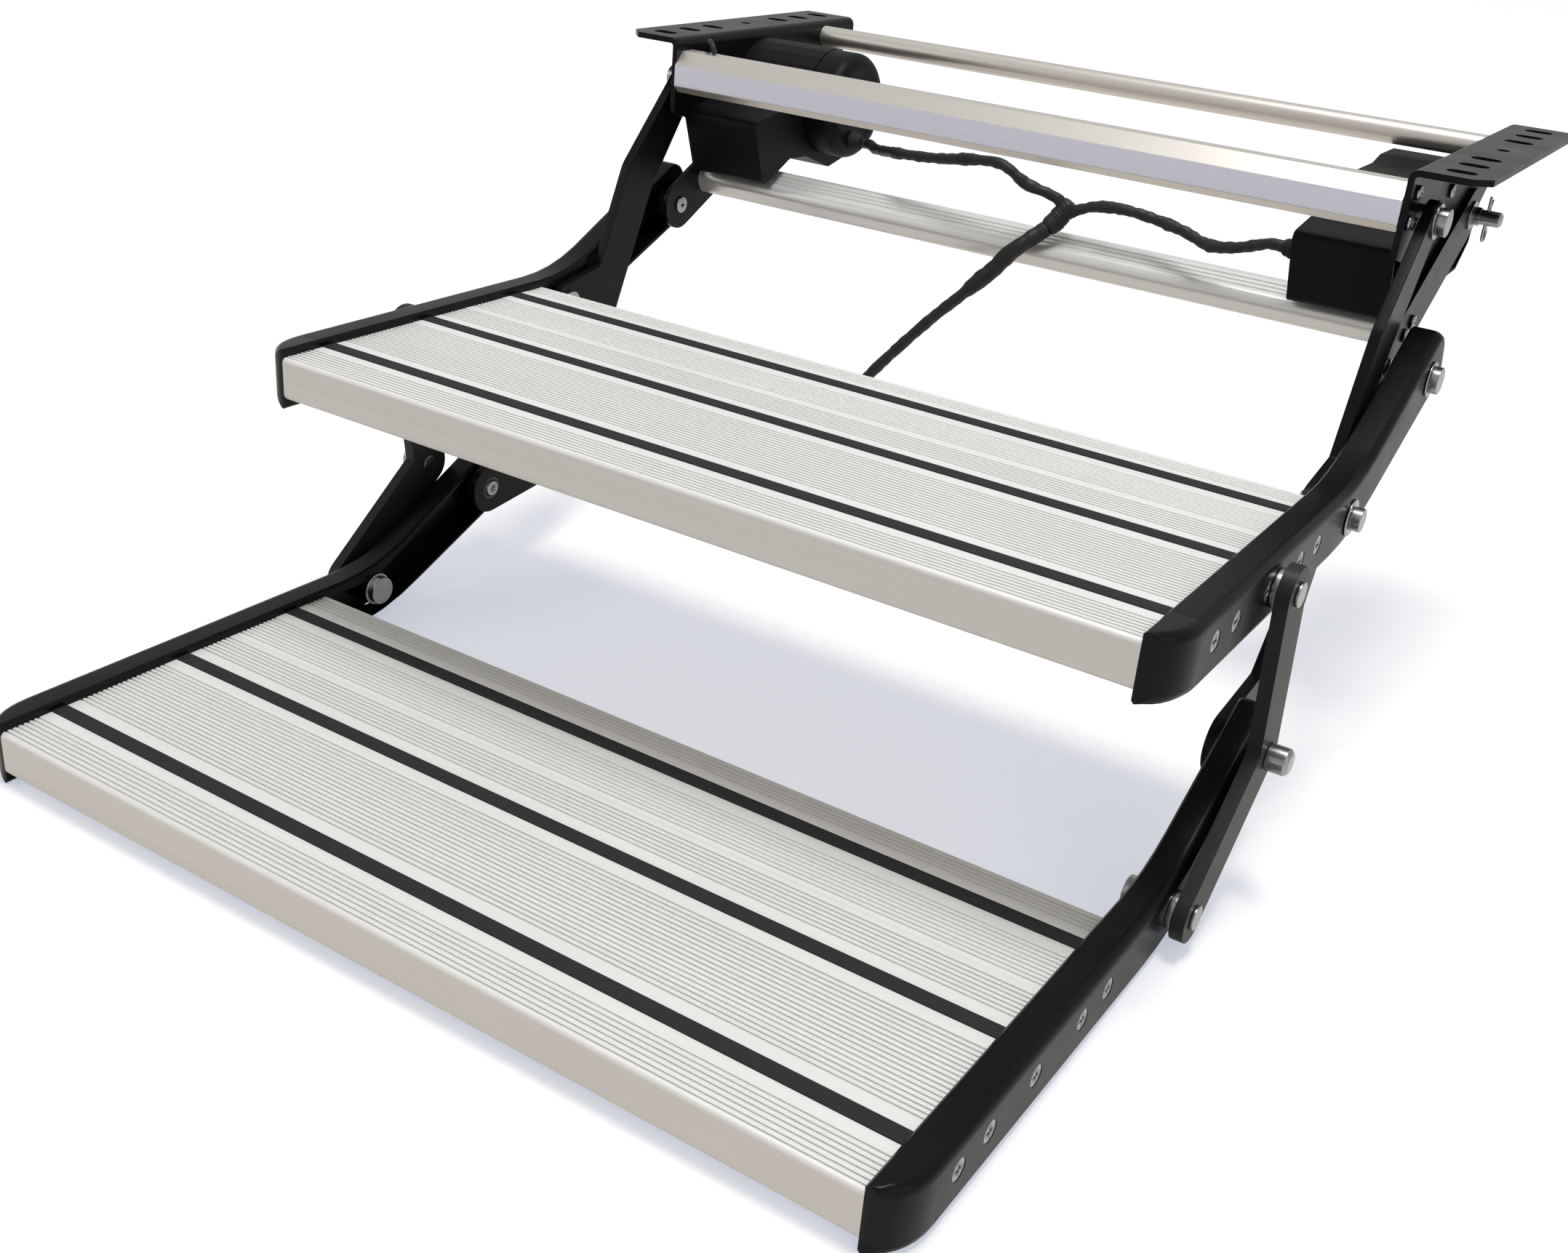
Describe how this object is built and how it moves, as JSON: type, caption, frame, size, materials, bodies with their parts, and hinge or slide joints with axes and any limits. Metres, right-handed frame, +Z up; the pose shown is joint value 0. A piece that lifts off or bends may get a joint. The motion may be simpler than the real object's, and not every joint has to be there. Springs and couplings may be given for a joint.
{
  "type": "folding vehicle step",
  "caption": "Motor-driven folding entrance step for a caravan: ribbed treads in side rails hang on folding arms and links from slotted chassis brackets, with a light bar.",
  "frame": {"origin": "centre of the mounting slots, on the top plane of the two flanges", "axes": "+X to the right seen from outside the vehicle, +Y towards the vehicle, +Z up"},
  "size_m": [0.654, 0.832, 0.368],
  "materials": {
    "black_coat": "semi-gloss black powder coat",
    "silver_anodised": "brushed silver anodised extrusion",
    "zinc": "bright zinc plate",
    "black_rubber": "matt moulded rubber",
    "black_plastic": "fine satin grain",
    "bush_plastic": "natural acetal",
    "frosted_lens": "frosted diffuser",
    "light_board": "white lacquered light board",
    "drive_metal": "cast housing, painted"
  },
  "bodies": {
    "chassis": {"left_bracket": "black_coat", "right_bracket": "black_coat", "tie_bar": "silver_anodised", "tie_bolts": "zinc", "light_housing": "silver_anodised", "light_diffuser": "frosted_lens", "light_strip": "light_board", "light_screws": "zinc", "light_grommet": "black_rubber", "light_lead": "black_rubber", "drive_cover": "black_coat", "gearbox": "drive_metal", "motor": "black_coat", "control_cover": "black_coat", "control_module": "black_plastic", "cover_screws": "zinc", "cable_glands": "black_plastic", "motor_cable": "black_rubber", "control_cable": "black_rubber", "joint_sleeve": "black_rubber", "trunk_cable": "black_rubber", "trunk_connector": "black_plastic", "bracket_pins": "zinc", "bracket_washers": "zinc", "rear_pin": "zinc", "pin_clip": "zinc"},
    "rear_links": {"left_rear_link": "black_coat", "right_rear_link": "black_coat", "crossbar": "silver_anodised", "crossbar_screws": "zinc", "drive_shaft": "zinc", "rear_bush": "bush_plastic", "tail_rivets": "zinc"},
    "front_arms": {"left_arm": "black_coat", "right_arm": "black_coat", "arm_bushes": "bush_plastic"},
    "upper_step": {"upper_left_rail": "black_coat", "upper_right_rail": "black_coat", "upper_front_plank": "silver_anodised", "upper_rear_plank": "silver_anodised", "upper_grip_strips": "black_rubber", "upper_left_cap": "black_plastic", "upper_right_cap": "black_plastic", "upper_rail_screws": "zinc", "upper_pins": "zinc", "upper_washers": "zinc", "outer_link_pins": "zinc"},
    "outer_links": {"left_outer_link": "black_coat", "right_outer_link": "black_coat", "outer_bushes": "bush_plastic", "stop_pins": "zinc", "outer_studs": "zinc"},
    "lower_step": {"lower_left_rail": "black_coat", "lower_right_rail": "black_coat", "lower_front_plank": "silver_anodised", "lower_rear_plank": "silver_anodised", "lower_grip_strips": "black_rubber", "lower_caps": "black_plastic", "lower_rail_screws": "zinc", "lower_pins": "zinc"}
  },
  "joints": [
    {"name": "fold", "type": "hinge", "parent": "chassis", "child": "rear_links", "pos_m": [0, 0.04, -0.05], "axis": [1, 0, 0], "range_deg": [0, 143.81], "deforming": ["trunk_cable", "trunk_connector"]},
    {"name": "front_arm_hinge", "type": "hinge", "parent": "chassis", "child": "front_arms", "pos_m": [0, -0.096, -0.032], "axis": [1, 0, 0], "range_deg": [0, 102.8]},
    {"name": "upper_step_hinge", "type": "hinge", "parent": "front_arms", "child": "upper_step", "pos_m": [0, -0.229, -0.178], "axis": [1, 0, 0], "range_deg": [-102.36, 0]},
    {"name": "lower_step_hinge", "type": "hinge", "parent": "front_arms", "child": "lower_step", "pos_m": [0, -0.313, -0.299], "axis": [1, 0, 0], "range_deg": [-107.51, 0]},
    {"name": "outer_link_hinge", "type": "hinge", "parent": "upper_step", "child": "outer_links", "pos_m": [0, -0.357, -0.178], "axis": [1, 0, 0], "range_deg": [0, 80.25]}
  ],
  "couplings": [
    {"joint": "front_arm_hinge", "follows": "fold", "ratio": 0.71274},
    {"joint": "upper_step_hinge", "follows": "fold", "ratio": -0.70971},
    {"joint": "lower_step_hinge", "follows": "fold", "ratio": -0.74549},
    {"joint": "outer_link_hinge", "follows": "fold", "ratio": 0.55594}
  ]
}
